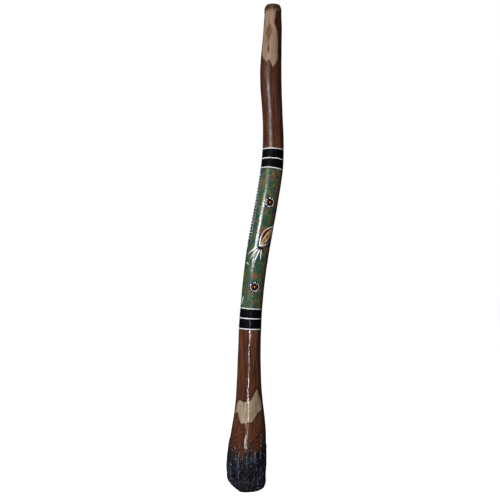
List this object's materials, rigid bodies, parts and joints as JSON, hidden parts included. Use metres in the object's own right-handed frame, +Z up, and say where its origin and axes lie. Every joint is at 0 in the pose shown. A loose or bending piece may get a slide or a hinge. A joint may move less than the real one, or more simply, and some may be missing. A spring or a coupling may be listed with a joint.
{
  "type": "didgeridoo",
  "caption": "Curved hollow hardwood drone pipe with a rolled beeswax mouthpiece, a flared bark-edged bell and painted bands, rosettes and a leaf motif.",
  "frame": {"origin": "middle of the bounding box's underside, in the plane of the bell's end", "axes": "+Z up from the bell to the mouthpiece, -Y out of the front with the rosettes, +X to the right of the front"},
  "size_m": [0.1511, 0.1158, 1.25],
  "materials": {
    "gum_wood": "clear varnish over stained wood",
    "beeswax": "waxy, soft sheen",
    "knot_resin": "dark resin, varnished",
    "bark": "craggy bark under thick varnish",
    "green_paint": "acrylic under clear varnish",
    "black_paint": "acrylic under clear varnish",
    "white_paint": "acrylic under clear varnish",
    "maroon_paint": "acrylic under clear varnish",
    "ochre_paint": "acrylic under clear varnish"
  },
  "bodies": {
    "root": {"log": "gum_wood", "beeswax_mouthpiece": "beeswax", "knot_filler": "knot_resin", "bark_skirt": "bark", "ground_coat": "green_paint", "upper_black_bands": "black_paint", "lower_black_bands": "black_paint", "upper_white_rings": "white_paint", "lower_white_rings": "white_paint", "rosette_discs": "black_paint", "rosette_outer_dots": "white_paint", "rosette_inner_dots": "maroon_paint", "rosette_centre_dots": "ochre_paint", "border_strip": "black_paint", "border_dots": "white_paint", "leaf_outline": "white_paint", "leaf_dark_panels": "maroon_paint", "leaf_light_panel": "ochre_paint", "brush_strokes": "white_paint"}
  },
  "joints": []
}
